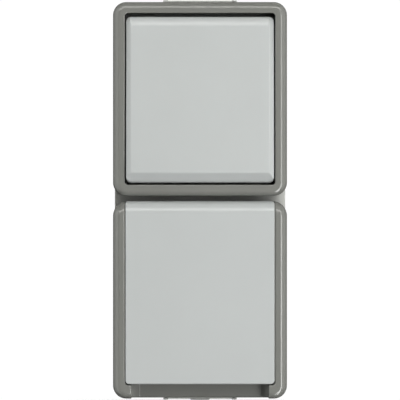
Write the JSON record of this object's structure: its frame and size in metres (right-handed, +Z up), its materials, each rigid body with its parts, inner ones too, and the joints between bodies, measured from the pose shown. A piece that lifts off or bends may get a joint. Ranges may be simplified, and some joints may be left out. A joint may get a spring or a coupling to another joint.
{
  "type": "surface-mounted rocker switch and covered socket unit",
  "caption": "Upright wall unit: a tilting rocker switch in a dark frame above a socket outlet under a spring-closed hinged lid, on a shared wall box.",
  "frame": {"origin": "middle of the back face, where the unit lies on the wall", "axes": "+Z up, +X to the right seen from the front, the front faces -Y and the wall is at y = 0"},
  "size_m": [0.066, 0.0547, 0.1527],
  "materials": {
    "cover_plastic": "satin moulded thermoplastic, warm dark grey",
    "base_plastic": "satin moulded thermoplastic, warm light grey",
    "light_plastic": "satin moulded thermoplastic, cool light grey",
    "black_rubber": "soft moulded rubber",
    "grey_rubber": "soft moulded rubber",
    "insert_plastic": "matt thermoset, off-white",
    "zinc_steel": "zinc-plated pressed steel",
    "spring_steel": "bright spring wire",
    "brass": "punched and turned brass",
    "silver_contact": "silver alloy contact"
  },
  "bodies": {
    "housing": {"base_box": "base_plastic", "top_cable_grommet": "grey_rubber", "bottom_cable_grommet": "grey_rubber", "switch_cover_gasket": "black_rubber", "socket_cover_gasket": "black_rubber", "switch_cover": "cover_plastic", "switch_cover_screws": "zinc_steel", "rocker_seal": "black_rubber", "switch_insert": "insert_plastic", "switch_support_frame": "zinc_steel", "switch_frame_screws": "zinc_steel", "lever_pin": "zinc_steel", "fixed_contact": "brass", "common_contact": "brass", "switch_terminals": "brass", "switch_terminal_screws": "zinc_steel", "socket_cover": "cover_plastic", "socket_cover_screws": "zinc_steel", "socket_face": "cover_plastic", "socket_floor": "cover_plastic", "socket_insert": "insert_plastic", "socket_support_frame": "zinc_steel", "socket_frame_screws": "zinc_steel", "centre_screw": "zinc_steel", "contact_sleeve_line": "brass", "contact_sleeve_neutral": "brass", "earth_contacts": "spring_steel", "socket_terminals": "brass", "socket_terminal_screws": "zinc_steel", "hinge_pin": "zinc_steel", "lid_spring": "spring_steel"},
    "rocker": {"switch_rocker": "light_plastic", "rocker_carrier": "insert_plastic", "toggle_plunger": "insert_plastic", "toggle_spring": "spring_steel"},
    "contact_lever": {"contact_lever": "brass", "moving_contact": "silver_contact"},
    "lid": {"socket_lid": "light_plastic", "lid_gasket": "black_rubber"}
  },
  "joints": [
    {"name": "rocker_tilt", "type": "hinge", "parent": "housing", "child": "rocker", "pos_m": [0, -0.045, 0.0381], "axis": [1, 0, 0], "range_deg": [0, 7]},
    {"name": "contact_lever_tilt", "type": "hinge", "parent": "housing", "child": "contact_lever", "pos_m": [0, -0.02, 0.0381], "axis": [1, 0, 0], "range_deg": [-14, 0]},
    {"name": "lid_hinge", "type": "hinge", "parent": "housing", "child": "lid", "pos_m": [0, -0.0482, -0.00468], "axis": [-1, 0, 0], "range_deg": [0, 100], "stiffness_Nm_per_rad": 0.004, "springref_deg": -34.38, "deforming": ["lid_spring"]}
  ],
  "couplings": [
    {"joint": "contact_lever_tilt", "follows": "rocker_tilt", "ratio": -2}
  ]
}
